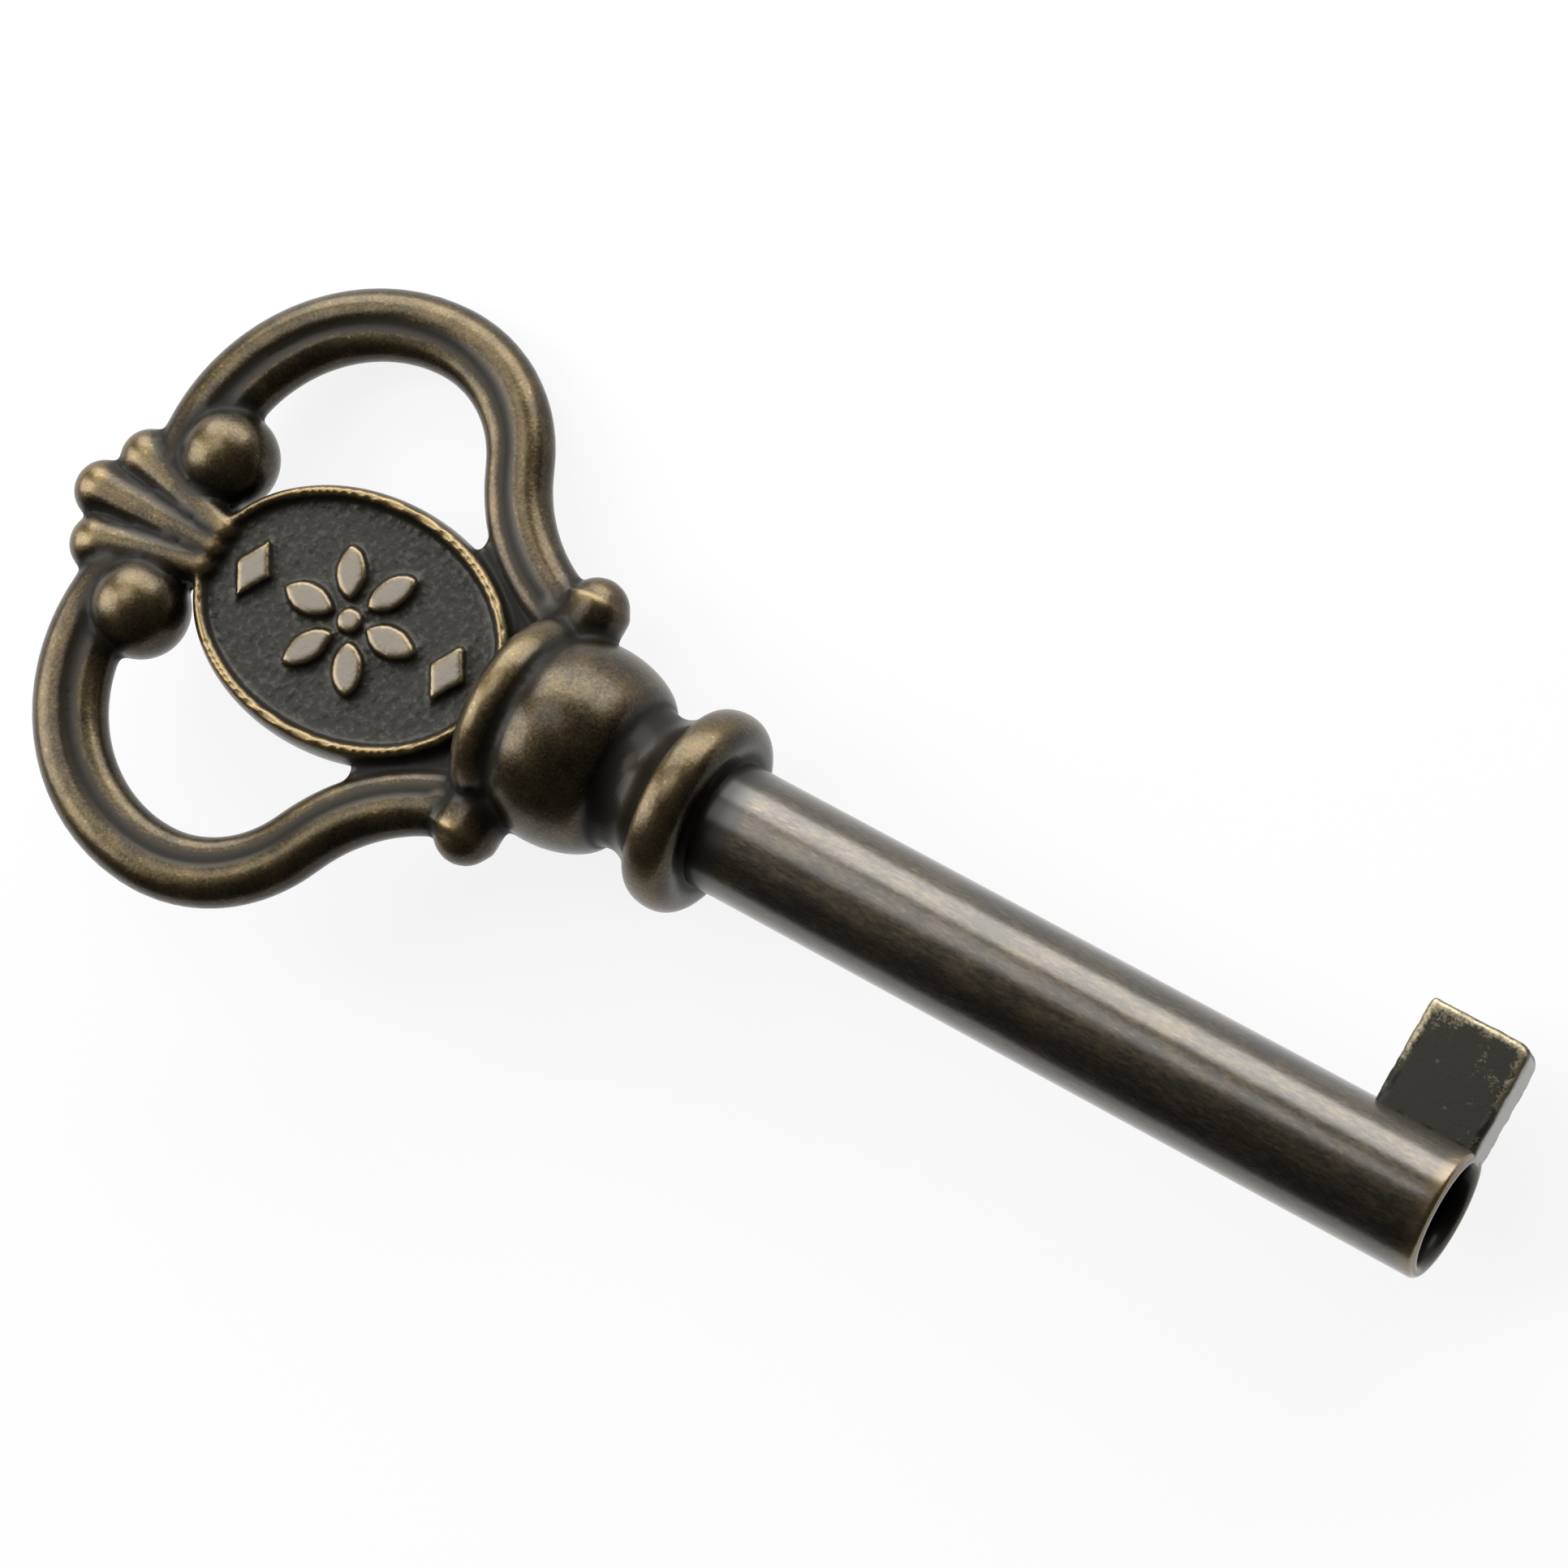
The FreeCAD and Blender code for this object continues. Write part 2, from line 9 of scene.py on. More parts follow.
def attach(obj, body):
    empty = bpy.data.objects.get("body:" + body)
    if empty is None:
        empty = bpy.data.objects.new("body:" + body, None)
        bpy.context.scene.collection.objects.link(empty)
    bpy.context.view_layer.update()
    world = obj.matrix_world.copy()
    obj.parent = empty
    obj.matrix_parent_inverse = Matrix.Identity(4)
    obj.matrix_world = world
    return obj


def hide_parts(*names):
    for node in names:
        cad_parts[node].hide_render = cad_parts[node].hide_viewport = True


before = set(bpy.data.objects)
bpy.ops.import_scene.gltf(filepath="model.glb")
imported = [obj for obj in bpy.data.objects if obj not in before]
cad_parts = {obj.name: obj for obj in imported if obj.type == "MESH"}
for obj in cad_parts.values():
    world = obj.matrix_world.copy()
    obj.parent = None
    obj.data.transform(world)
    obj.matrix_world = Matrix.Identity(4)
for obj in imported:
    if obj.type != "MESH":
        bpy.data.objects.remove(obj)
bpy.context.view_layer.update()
print("frame loaded")

# The key is modelled along its own axis in millimetres: x runs to the tip from the shoulder,
# y is the bit's side and z points across the bow. place then puts it where it rests.
rest = {
    "rollDegrees": 14.666,
    "axisHeight": 4.9,
    "shoulderX": 0.265,
}
millimetre = 0.001


def place():
    # from the key's own frame to the place where it lies
    roll = Matrix.Rotation(math.radians(-rest["rollDegrees"]), 4, "X")
    shift = Matrix.Translation((rest["shoulderX"], 0, rest["axisHeight"]))
    return Matrix.Scale(millimetre, 4) @ shift @ roll


def arcPoints(centre, radius, start, end, steps):
    # points round a centre, with the angles in degrees
    angles = [math.radians(start + (end - start) * i / steps) for i in range(steps + 1)]
    return [(centre[0] + radius * math.cos(a), centre[1] + radius * math.sin(a)) for a in angles]


def bulge(low, top, side, steps, fullness=0.5):
    # the swelling from a low point up to a level top; side says where the low point stands.
    # a fullness of 0.5 is a quarter-oval, and more is flatter
    points = []
    for i in range(steps + 1):
        angle = math.radians(90 * i / steps)
        x = top[0] + (low[0] - top[0]) * math.cos(angle)
        points.append((x, low[1] + (top[1] - low[1]) * math.sin(angle) ** (2 * fullness)))
    return points if side == "left" else points[::-1]


def hollowArc(start, end, bottom, steps):
    # a cove from one edge down to its bottom and up to the other edge
    points = []
    for i in range(steps + 1):
        share = i / steps
        line = start[1] + (end[1] - start[1]) * share
        dip = 4 * share * (1 - share)
        lowest = (start[1] + end[1]) / 2 - bottom
        points.append((start[0] + (end[0] - start[0]) * share, line - lowest * dip))
    return points


def spinProfile(mesh, points, segments):
    # turns a profile that starts and ends on the x axis into a closed body
    verts = [mesh.verts.new((x, 0, y)) for x, y in points]
    edges = [mesh.edges.new(pair) for pair in zip(verts, verts[1:])]
    bmesh.ops.spin(mesh, geom=verts + edges, cent=(0, 0, 0), axis=(1, 0, 0), angle=math.tau,
                   steps=segments, use_merge=True, use_duplicate=False)
    bmesh.ops.remove_doubles(mesh, verts=mesh.verts[:], dist=0.0005)


def addBall(mesh, x, y, radius, z=0.0):
    bmesh.ops.create_icosphere(mesh, subdivisions=4, radius=radius, matrix=Matrix.Translation((x, y, z)))


def addPlate(mesh, corners, thickness):
    # a flat piece of even thickness, both faces alike
    face = mesh.faces.new([mesh.verts.new((x, y, -thickness / 2)) for x, y in corners])
    raised = bmesh.ops.extrude_face_region(mesh, geom=[face])["geom"]
    top = [item for item in raised if isinstance(item, bmesh.types.BMVert)]
    bmesh.ops.translate(mesh, verts=top, vec=(0, 0, thickness))


def sweep(mesh, stations, segments, closed=False):
    # carries a ring from station to station; a station is (matrix, radius, height)
    first, width, height = stations[0]
    size = Matrix.Diagonal((width, height, 1, 1))
    ring = bmesh.ops.create_circle(mesh, cap_ends=False, segments=segments, radius=1,
                                   matrix=first @ size)["verts"]
    firstEdges = list({edge for vert in ring for edge in vert.link_edges})
    edges = firstEdges
    if not closed:
        bmesh.ops.holes_fill(mesh, edges=edges, sides=0)
    current = first @ size
    for matrix, width, height in stations[1:]:
        made = bmesh.ops.extrude_edge_only(mesh, edges=edges)["geom"]
        verts = [item for item in made if isinstance(item, bmesh.types.BMVert)]
        edges = [item for item in made if isinstance(item, bmesh.types.BMEdge)]
        after = matrix @ Matrix.Diagonal((width, height, 1, 1))
        bmesh.ops.transform(mesh, matrix=after @ current.inverted(), verts=verts)
        current = after
    if closed:
        bmesh.ops.bridge_loops(mesh, edges=firstEdges + edges)
    else:
        bmesh.ops.holes_fill(mesh, edges=edges, sides=0)


def station(x, y, heading):
    # a ring's frame: its own x points to the right of the heading, its own y across the bow
    along = Vector((math.cos(heading), math.sin(heading), 0))
    side = Vector((math.sin(heading), -math.cos(heading), 0))
    frameTurn = Matrix((side, (0, 0, 1), along)).transposed().to_4x4()
    return Matrix.Translation((x, y, 0)) @ frameTurn


def blendSizes(start, end, share):
    return start + (end - start) * share


arms = {
    "topX": -24.0,
    "topY": 13.85,
    "frontRadius": 6.63,
    "endBack": 8.41,
    "endY": 2.7,
    "rootX": -12.15,
    "rootY": 5.0,
    "rootLean": 73.8,
    "rootWidth": 3.16,
    "topWidth": 3.4,
    "endWidth": 3.9,
    "stepDegrees": 5.0,
}

# two rolls make an arm's section: each one's radius and place, as shares of the arm's half width
armRolls = {
    "outer": (0.7425, 0.2575),
    "inner": (0.6295, -0.3705),
}


def armPath():
    # (x, y, outward heading, half width) along one arm, from the root over the top to the crest
    topX, topY, front = arms["topX"], arms["topY"], arms["frontRadius"]
    frontY = topY - front
    lean = math.radians(arms["rootLean"])
    dx, dy = arms["rootX"] - topX, arms["rootY"] - frontY
    along = dx * math.cos(lean) + dy * math.sin(lean)
    rootRadius = (front ** 2 - dx ** 2 - dy ** 2) / (2 * (along - front))
    rootCentre = (arms["rootX"] + rootRadius * math.cos(lean), arms["rootY"] + rootRadius * math.sin(lean))
    waist = math.degrees(math.atan2(rootCentre[1] - frontY, rootCentre[0] - topX))
    drop = topY - arms["endY"]
    backRadius = (arms["endBack"] ** 2 + drop ** 2) / (2 * drop)
    backSweep = 90 - math.degrees(math.asin((arms["endY"] - topY + backRadius) / backRadius))
    step = arms["stepDegrees"]
    path = []
    count = max(2, round((arms["rootLean"] - waist) / step))
    for i in range(count):
        angle = math.radians(180 + arms["rootLean"] + (waist - arms["rootLean"]) * i / count)
        x, y = rootCentre[0] + rootRadius * math.cos(angle), rootCentre[1] + rootRadius * math.sin(angle)
        path.append((x, y, angle + math.pi))
    count = round((90 - waist) / step)
    for i in range(count):
        angle = math.radians(waist + (90 - waist) * i / count)
        path.append((topX + front * math.cos(angle), frontY + front * math.sin(angle), angle))
    top = len(path)
    count = round(backSweep / step)
    for i in range(count + 1):
        angle = math.radians(90 + backSweep * i / count)
        x, y = topX + backRadius * math.cos(angle), topY - backRadius + backRadius * math.sin(angle)
        path.append((x, y, angle))
    halves = []
    for i in range(len(path)):
        if i <= top:
            halves.append(blendSizes(arms["rootWidth"], arms["topWidth"], i / top) / 2)
        else:
            share = (i - top) / (len(path) - 1 - top)
            halves.append(blendSizes(arms["topWidth"], arms["endWidth"], share) / 2)
    return [(x, y, angle, half) for (x, y, angle), half in zip(path, halves)]


def addArms(mesh):
    path = armPath()
    for radiusShare, placeShare in armRolls.values():
        stations = []
        for x, y, outward, half in path:
            offset = placeShare * half
            rollX, rollY = x + offset * math.cos(outward), y + offset * math.sin(outward)
            matrix = station(rollX, rollY, outward + math.pi / 2)
            stations.append((matrix, radiusShare * half, radiusShare * half))
        sweep(mesh, stations, 24)


medallion = {
    "x": -21.0,
    "length": 16.8,
    "width": 12.4,
    "rimWidth": 0.95,
    "rimThickness": 2.6,
    "groundThickness": 1.4,
    "stippleGrain": 4.1,
    "stippleHeight": 0.08,
}


def ovalPath(inset, steps):
    # round the medallion, drawn in from its edge
    a, b = medallion["length"] / 2 - inset, medallion["width"] / 2 - inset
    turns = [math.tau * i / steps for i in range(steps)]
    return [(medallion["x"] + a * math.cos(t), b * math.sin(t), t) for t in turns]


def addMedallion(mesh):
    half = medallion["rimWidth"] / 2
    addPlate(mesh, [(x, y) for x, y, _ in ovalPath(half, 96)], medallion["groundThickness"])
    a, b = medallion["length"] / 2 - half, medallion["width"] / 2 - half
    stations = []
    for x, y, t in ovalPath(half, 120):
        heading = math.atan2(b * math.cos(t), -a * math.sin(t))
        stations.append((station(x, y, heading), half, medallion["rimThickness"] / 2))
    sweep(mesh, stations, 20, closed=True)


ornament = {
    "thickness": 2.3,
    "petals": 6,
    "petalStart": 0.95,
    "petalLength": 2.75,
    "petalHalfWidth": 0.74,
    "eye": 0.62,
    "lozengePlace": 5.55,
    "lozengeLength": 1.9,
    "lozengeWidth": 3.0,
}


def petalOutline():
    # a pointed leaf between two arcs
    half, width = ornament["petalLength"] / 2, ornament["petalHalfWidth"]
    radius = (half * half + width * width) / (2 * width)
    spread = math.degrees(math.asin(half / radius))
    middle = ornament["petalStart"] + half
    upper = arcPoints((middle, width - radius), radius, 90 - spread, 90 + spread, 10)
    lower = arcPoints((middle, radius - width), radius, 270 - spread, 270 + spread, 10)
    return upper + lower[1:-1]


def addOrnament(mesh):
    thickness = ornament["thickness"]
    petal = petalOutline()
    for i in range(ornament["petals"]):
        turn = math.tau * i / ornament["petals"]
        c, s = math.cos(turn), math.sin(turn)
        corners = [(medallion["x"] + x * c - y * s, x * s + y * c) for x, y in petal]
        addPlate(mesh, corners, thickness)
    eye = arcPoints((medallion["x"], 0), ornament["eye"], 0, 345, 23)
    addPlate(mesh, eye, thickness)
    length, width = ornament["lozengeLength"] / 2, ornament["lozengeWidth"] / 2
    for side in (-1, 1):
        x = medallion["x"] + side * ornament["lozengePlace"]
        addPlate(mesh, [(x - length, 0), (x, -width), (x + length, 0), (x, width)], thickness)


stem = {
    "shoulder": 3.1,
    "collarFace": -0.62,
    "collarFaceTop": 3.85,
    "collarX": -1.8,
    "collarRadius": 4.9,
    "collarBackX": -2.98,
    "collarBackRadius": 4.3,
    "coveBottom": 3.4,
    "coveEdgeX": -5.5,
    "coveEdge": 3.62,
    "bulbStep": 0.2,
    "bulbFullness": 0.72,
    "bulbX": -8.7,
    "bulbRadius": 4.9,
    "bulbBack": 1.85,
    "valley": 4.15,
    "ringFront": 1.05,
    "ringRadius": 4.8,
    "ringBack": 1.1,
    "ringBackRadius": 3.7,
    "bowEnd": -13.2,
    "root": 1.1,
}


def stemProfile():
    # the turned profile, from the shoulder back to the ring
    face = stem["collarFace"]
    points = [(face + 0.3, 0.0), (face + 0.3, shank["radius"] - 0.3), (face, stem["shoulder"])]
    collar = (stem["collarX"], stem["collarRadius"])
    points += bulge((face, stem["collarFaceTop"]), collar, "right", 14)[::-1]
    back = (stem["collarBackX"], stem["collarBackRadius"])
    points += bulge(back, collar, "left", 12)[::-1][1:]
    edge = (stem["coveEdgeX"], stem["coveEdge"])
    points += hollowArc(back, edge, stem["coveBottom"], 16)[1:-1]
    bulb = (stem["bulbX"], stem["bulbRadius"])
    step = (edge[0] - stem["bulbStep"] / 2, edge[1] + stem["bulbStep"])
    points += [edge] + bulge(step, bulb, "right", 16, stem["bulbFullness"])[::-1]
    valley = (bulb[0] - stem["bulbBack"], stem["valley"])
    points += bulge(valley, bulb, "left", 14, stem["bulbFullness"])[::-1][1:]
    ring = (valley[0] - stem["ringFront"], stem["ringRadius"])
    points += bulge(valley, ring, "right", 12)[::-1][1:]
    back = (ring[0] - stem["ringBack"], stem["ringBackRadius"])
    points += bulge(back, ring, "left", 12)[::-1][1:]
    points.append((back[0] - stem["root"], 0.0))
    return points


# the sunk web that fills the corner between an arm's root, the rim and the ring
rootWeb = {
    "thickness": 1.1,
    "back": -17.6,
    "front": -12.2,
    "inner": 3.0,
}


def addRootWeb(mesh):
    # bounded by the arm's own line, so that it stays hidden under the arm
    line = [(x, y) for x, y, _, _ in armPath() if rootWeb["back"] < x < rootWeb["front"] and y < 10]
    front, inner = rootWeb["front"], rootWeb["inner"]
    corners = [(front, inner), (front, line[0][1])] + line + [(rootWeb["back"], inner)]
    addPlate(mesh, corners, rootWeb["thickness"])


# the neck that carries the foot ball on the ring: place, width and height
footNeck = {
    "x": -11.1,
    "low": 3.4,
    "high": 6.2,
    "radius": 1.65,
}


def addFootNeck(mesh):
    low, high = footNeck["low"], footNeck["high"]
    upright = Matrix.Translation((footNeck["x"], (low + high) / 2, 0)) @ Matrix.Rotation(math.pi / 2, 4, "X")
    bmesh.ops.create_cone(mesh, cap_ends=True, segments=24, radius1=footNeck["radius"],
                          radius2=footNeck["radius"], depth=high - low, matrix=upright)


crest = {
    "ribs": ((-35.73, 0.0, 0.0), (-34.5, 2.3, 0.95), (-34.5, -2.3, -0.95)),
    "tailX": -28.95,
    "tailHeight": 0.72,
    "lobeRadius": 1.5,
    "lobeLift": 0.3,
    "neckRadius": 1.28,
    "tailRadius": 0.8,
    "webThickness": 1.6,
}


def addRib(mesh, lobeX, lobeY, tailY, face):
    start = Vector((lobeX, lobeY, crest["lobeLift"] * face))
    end = Vector((crest["tailX"], tailY, crest["tailHeight"] * face))
    line = end - start
    turn = line.to_track_quat("Z", "Y").to_matrix().to_4x4()
    middle = Matrix.Translation((start + end) / 2) @ turn
    bmesh.ops.create_cone(mesh, cap_ends=True, segments=24, radius1=crest["neckRadius"],
                          radius2=crest["tailRadius"], depth=line.length, matrix=middle)
    addBall(mesh, end.x, end.y, crest["tailRadius"], end.z)


def addCrest(mesh):
    for lobeX, lobeY, tailY in crest["ribs"]:
        addBall(mesh, lobeX, lobeY, crest["lobeRadius"])
        for face in (-1, 1):
            addRib(mesh, lobeX, lobeY, tailY, face)
    (tipX, _, _), (sideX, sideY, tailY), _ = crest["ribs"]
    tailY += crest["tailRadius"]
    tailX = crest["tailX"]
    addPlate(mesh, [(sideX, -sideY), (tailX, -tailY), (tailX, tailY), (sideX, sideY), (tipX, 0)],
             crest["webThickness"])


def toObject(mesh, name):
    bmesh.ops.recalc_face_normals(mesh, faces=mesh.faces[:])
    data = bpy.data.meshes.new(name)
    mesh.to_mesh(data)
    mesh.free()
    piece = bpy.data.objects.new(name, data)
    bpy.context.scene.collection.objects.link(piece)
    return piece


def fuse(piece, voxel):
    # melts overlapping bodies into one skin, as they are in a casting
    remesh = piece.modifiers.new("fuse", "REMESH")
    remesh.mode = "VOXEL"
    remesh.voxel_size = voxel
    bpy.context.view_layer.update()
    solid = bpy.data.meshes.new_from_object(piece.evaluated_get(bpy.context.evaluated_depsgraph_get()))
    piece.modifiers.clear()
    old = piece.data
    piece.data = solid
    bpy.data.meshes.remove(old)


def vertexArrays(data):
    count = len(data.vertices)
    co = np.empty(count * 3)
    data.vertices.foreach_get("co", co)
    ends = np.empty(len(data.edges) * 2, np.int64)
    data.edges.foreach_get("vertices", ends)
    return co.reshape(-1, 3), ends.reshape(-1, 2)


def averaged(values, ends, rounds):
    # each vertex takes the mean of its neighbours, over and over
    count = len(values)
    a, b = ends[:, 0], ends[:, 1]
    weight = np.bincount(a, minlength=count) + np.bincount(b, minlength=count)
    weight = np.maximum(weight, 1)[:, None]
    values = values.copy()
    for _ in range(rounds):
        total = np.empty_like(values)
        for axis in range(values.shape[1]):
            column = values[:, axis]
            total[:, axis] = (np.bincount(a, weights=column[b], minlength=count)
                              + np.bincount(b, weights=column[a], minlength=count))
        values = 0.5 * values + 0.5 * total / weight
    return values


def vertexNormals(data):
    normals = np.empty(len(data.vertices) * 3)
    data.vertices.foreach_get("normal", normals)
    return normals.reshape(-1, 3)


def writeAttribute(data, name, values):
    attribute = data.attributes.new(name, "FLOAT", "POINT")
    attribute.data.foreach_set("value", values.astype(np.float32))


def ramp(values, low, high):
    # 0 below low, 1 above high and smooth between
    share = np.clip((values - low) / (high - low), 0, 1)
    return share * share * (3 - 2 * share)


# how the relief is read: heights in millimetres off the smoothed skin, and shares of rubbing
relief = {
    "leastRub": 0.2,
    "mostRub": 0.8,
    "faceTurn": (0.35, 0.9),
    "crestTurn": (0.55, 0.97),
    "broadRounds": 90,
    "edgeHeight": 0.045,
    "edgeStart": 0.4,
    "edgeMost": 0.75,
    "grooveDepth": 0.011,
    "grooveStart": 0.15,
    "hollowDepth": 0.16,
    "hillHeight": 0.22,
}


def rubbing(co, normals):
    # a pocket rubs the faces of the bow and the crests of the turned stem, not the walls between
    least, most = relief["leastRub"], relief["mostRub"]
    faces = least + most * ramp(np.abs(normals[:, 2]), *relief["faceTurn"])
    reach = np.maximum(np.hypot(co[:, 1], co[:, 2]), 0.1)
    outward = (co[:, 1] * normals[:, 1] + co[:, 2] * normals[:, 2]) / reach
    crests = least + most * ramp(outward, *relief["crestTurn"])
    turned = (co[:, 0] > stem["bowEnd"]) & (reach < stem["bulbRadius"] + 0.05)
    return np.where(turned, crests, faces)


def markRelief(data, sunk, flat, reach):
    # edge marks proud edges and hill broad high places, by how far a smoothed skin lies off; recesses and
    # grooves are marked for darkening, partly as oxide and partly as painted shade
    co, ends = vertexArrays(data)
    normals = vertexNormals(data)
    rubbed = rubbing(co, normals)
    fine = ((co - averaged(co, ends, reach)) * normals).sum(1)
    broad = ((co - averaged(co, ends, relief["broadRounds"])) * normals).sum(1)
    edge = np.clip(fine / relief["edgeHeight"] - relief["edgeStart"], 0, relief["edgeMost"]) * rubbed
    # recesses and grooves darken: partly the oxide that sits in them, partly painted shade
    groove = -fine / relief["grooveDepth"] - relief["grooveStart"]
    hollow = np.clip(np.maximum(-broad / relief["hollowDepth"], groove), 0, 1)
    hill = np.clip(broad / relief["hillHeight"], 0, 1) * rubbed
    writeAttribute(data, "edge", averaged(edge[:, None], ends, 2)[:, 0])
    writeAttribute(data, "hollow", averaged(np.where(sunk > 0, 0, hollow)[:, None], ends, 3)[:, 0])
    writeAttribute(data, "ground", averaged(sunk[:, None], ends, 2)[:, 0])
    writeAttribute(data, "hill", averaged(hill[:, None], ends, 3)[:, 0])
    writeAttribute(data, "flat", averaged(flat[:, None], ends, 3)[:, 0])


def stipple(co, normals):
    # the ground round the ornament is struck with a fine irregular stipple
    moved, sunk = co.copy(), np.zeros(len(co))
    half = medallion["groundThickness"] / 2
    a = medallion["length"] / 2 - medallion["rimWidth"]
    b = medallion["width"] / 2 - medallion["rimWidth"]
    u = (co[:, 0] - medallion["x"]) / a
    v = co[:, 1] / b
    inside = (u * u + v * v < 1.0) & (np.abs(np.abs(co[:, 2]) - half) < 0.12) & (np.abs(normals[:, 2]) > 0.8)
    grain = medallion["stippleGrain"]
    for i in np.nonzero(inside)[0]:
        point = Vector(co[i]) * grain
        lift = noise.noise(point) + 0.5 * noise.noise(point * 2.1)
        moved[i] += normals[i] * lift * medallion["stippleHeight"]
        sunk[i] = 0.85 - 0.6 * lift
    top = ornament["thickness"] / 2
    # painted reflection: the ornament's flat raised tops are marked to turn pale grey
    flat = (u * u + v * v < 1.0) & (np.abs(co[:, 2]) > top - 0.12) & (np.abs(normals[:, 2]) > 0.93)
    return moved, np.clip(sunk, 0, 1), flat.astype(float)


def finishSkin(piece, softening, shaped, reach=10):
    # softens the skin, shapes it by the given function, marks it and puts it where it lies
    data = piece.data
    co, ends = vertexArrays(data)
    co = averaged(co, ends, softening)
    data.vertices.foreach_set("co", co.ravel())
    data.update()
    moved, sunk, flat = shaped(co, vertexNormals(data))
    data.vertices.foreach_set("co", moved.ravel())
    data.update()
    markRelief(data, sunk, flat, reach)
    data.transform(place())
    data.shade_smooth()


# x, y and radius of the balls on the scroll ends
balls = {
    "crest": (-31.0, 4.05, 2.4),
    "foot": (-11.05, 5.9, 1.5),
    "footScroll": (-12.55, 5.35, 1.2),
}

casting = {
    "voxel": 0.16,
    "softening": 5,
}


def makeCasting():
    mesh = bmesh.new()
    spinProfile(mesh, stemProfile(), 96)
    addMedallion(mesh)
    addOrnament(mesh)
    addCrest(mesh)
    arm = bmesh.new()
    addArms(arm)
    for x, y, radius in balls.values():
        addBall(arm, x, y, radius)
    addFootNeck(arm)
    addRootWeb(arm)
    for side in (1, -1):
        half = bpy.data.meshes.new("arm")
        copy = arm.copy()
        bmesh.ops.scale(copy, vec=(1, side, 1), verts=copy.verts[:])
        bmesh.ops.recalc_face_normals(copy, faces=copy.faces[:])
        copy.to_mesh(half)
        copy.free()
        mesh.from_mesh(half)
        bpy.data.meshes.remove(half)
    arm.free()
    piece = toObject(mesh, "bow_and_collar")
    fuse(piece, casting["voxel"])
    finishSkin(piece, casting["softening"], stipple)
    print("casting:", len(piece.data.polygons), "faces")
    return piece


shank = {
    "length": 36.65,
    "radius": 3.05,
    "mouthBevel": 0.3,
    "boreRadius": 2.3,
    "boreBevel": 0.28,
    "boreDepth": 22.0,
    "borePoint": 1.38,
    "start": -1.6,
    "segments": 128,
    "ringStep": 0.6,
}


def shankProfile():
    tip, radius, bore = shank["length"], shank["radius"], shank["boreRadius"]
    bevel, inner = shank["mouthBevel"], shank["boreBevel"]
    bottom = tip - shank["boreDepth"]
    points = [(shank["start"], 0.0), (shank["start"], radius)]
    runs = round((tip - bevel - shank["start"]) / shank["ringStep"])
    points += [(blendSizes(shank["start"], tip - bevel, i / runs), radius) for i in range(1, runs + 1)]
    points += arcPoints((tip - bevel, radius - bevel), bevel, 75, 0, 5)
    points += [(tip, bore + inner), (tip - inner, bore)]
    runs = round((tip - inner - bottom) / shank["ringStep"])
    points += [(blendSizes(tip - inner, bottom, i / runs), bore) for i in range(1, runs + 1)]
    points.append((bottom - shank["borePoint"], 0.0))
    return points


def makeShank():
    mesh = bmesh.new()
    spinProfile(mesh, shankProfile(), shank["segments"])
    piece = toObject(mesh, "shank")
    data = piece.data
    co, ends = vertexArrays(data)
    tip = shank["length"]
    reach = np.hypot(co[:, 1], co[:, 2])
    mouth = np.clip(1 - (tip - co[:, 0]) / 0.55, 0, 1) * (reach > shank["boreRadius"] - 0.01)
    writeAttribute(data, "edge", mouth)
    # painted shade: the bore's inside, the shank's end by the shoulder where it runs into the collar (a
    # painted shadow), and the mouth ring's end face are marked to render dark
    inside = np.clip((tip - co[:, 0]) / 0.2, 0, 1) * (reach < shank["boreRadius"] + 0.01) * (co[:, 0] > 1)
    shoulder = np.clip(1 - co[:, 0] / 1.0, 0, 1) * 0.8
    ring = 0.4 * (tip - co[:, 0] < 0.03)
    writeAttribute(data, "hollow", np.maximum(np.maximum(inside, shoulder), ring))
    writeAttribute(data, "hill", np.zeros(len(co)))
    writeAttribute(data, "flat", np.zeros(len(co)))
    writeAttribute(data, "ground", np.zeros(len(co)))
    data.transform(place())
    data.shade_smooth()
    print("shank:", len(data.polygons), "faces")
    return piece


bit = {
    "length": 5.0,
    "height": 7.9,
    "thickness": 2.4,
    "root": 2.45,
    "edgeRound": 0.24,
    "cornerRound": 0.7,
    "voxel": 0.11,
    "edgeBand": 0.35,
    "edgeReach": 26,
    "endFaceSheen": 1.0,
    "wornDepth": 0.045,
}


def wearBit(co, normals):
    # the blade's outer edges are filed and knocked uneven, its faces stay flat
    moved = co.copy()
    half = np.array((bit["length"], bit["height"] - bit["root"], bit["thickness"])) / 2
    middle = np.array((shank["length"] - bit["length"] / 2, (bit["height"] + bit["root"]) / 2, 0))
    inset = np.sort(half - np.abs(co - middle), axis=1)[:, 1]
    for i in np.nonzero(inset < bit["edgeBand"])[0]:
        knock = noise.noise(Vector(co[i]) * 1.9) + 0.4 * noise.noise(Vector(co[i]) * 5.0)
        moved[i] += normals[i] * knock * bit["wornDepth"]
    # painted reflection: the blade's end face at the tip is marked to turn pale grey
    return moved, np.zeros(len(co)), (co[:, 0] > shank["length"] - 0.1) * bit["endFaceSheen"]


